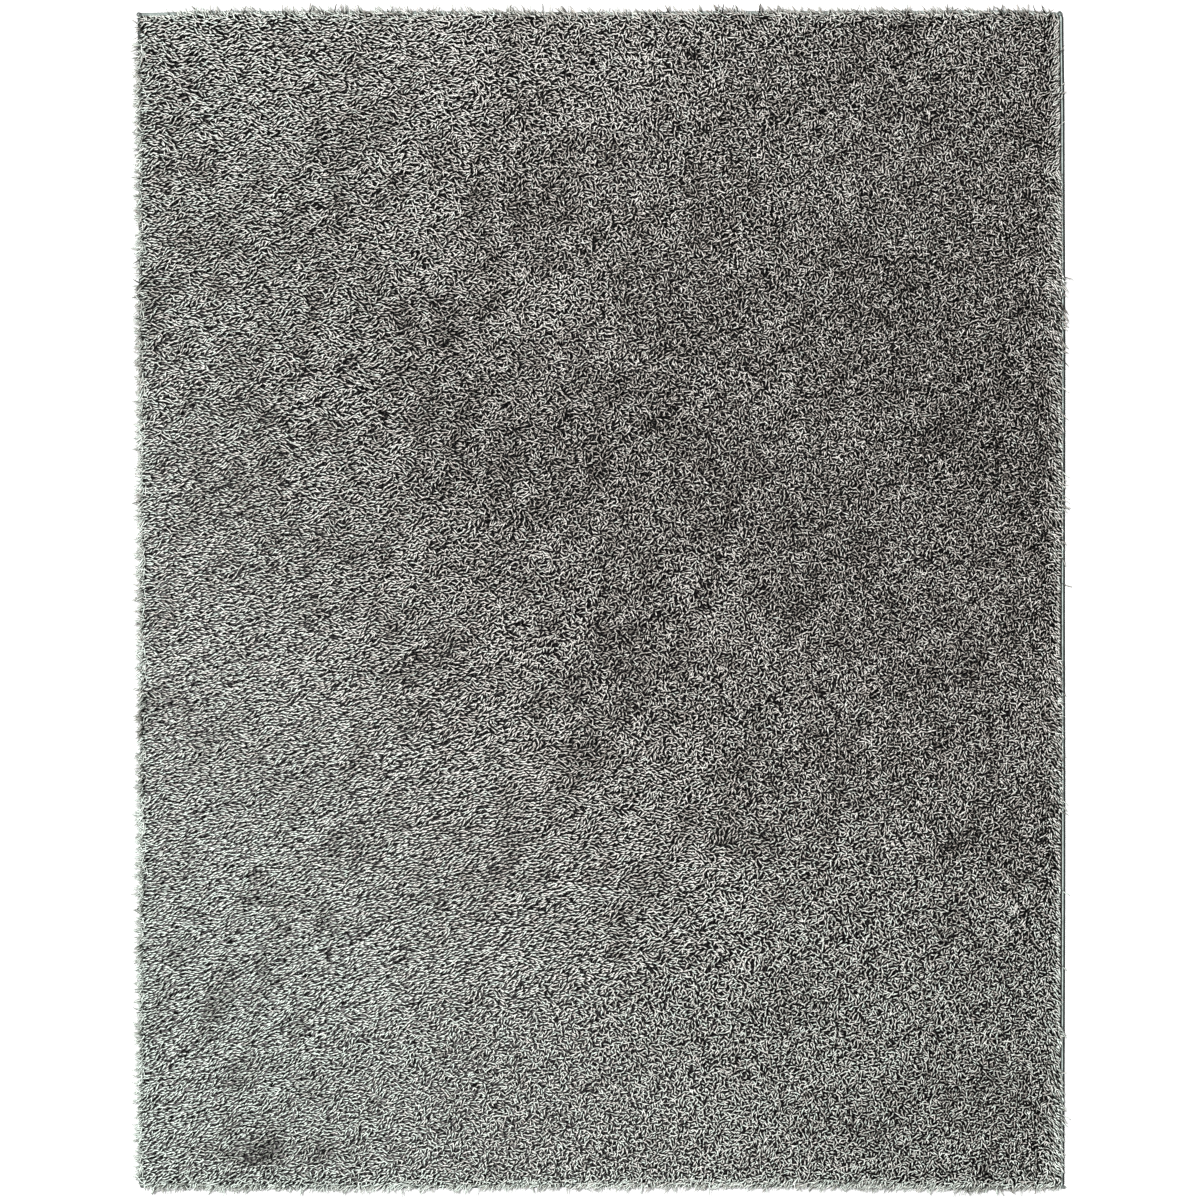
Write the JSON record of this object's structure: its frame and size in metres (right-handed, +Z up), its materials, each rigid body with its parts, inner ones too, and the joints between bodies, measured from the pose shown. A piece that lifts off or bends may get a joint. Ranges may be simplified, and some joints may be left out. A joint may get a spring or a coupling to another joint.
{
  "type": "shag rug",
  "caption": "Rectangular shag rug lying flat: heathered grey pile that lies flatter towards one side, lumpy on top, with locks hanging at its rim and a slate overcast binding round the edge.",
  "frame": {"origin": "middle of the rug's outline, on its flat underside", "axes": "+X to the edge whose binding shows, +Y along the longer side towards the head end, +Z up out of the pile"},
  "size_m": [2.428, 3.078, 0.039],
  "materials": {
    "pile_yarn": "heathered grey shag yarn, soft and matte with a faint sheen along each strand",
    "binding_yarn": "slate overcast yarn, wound close round the edge",
    "ground_cloth": "plain woven ground cloth under the pile, matte"
  },
  "bodies": {
    "root": {"shag_pile": "pile_yarn", "edge_binding_left": "binding_yarn", "edge_binding_right": "binding_yarn", "edge_binding_head": "binding_yarn", "edge_binding_foot": "binding_yarn"}
  },
  "joints": []
}
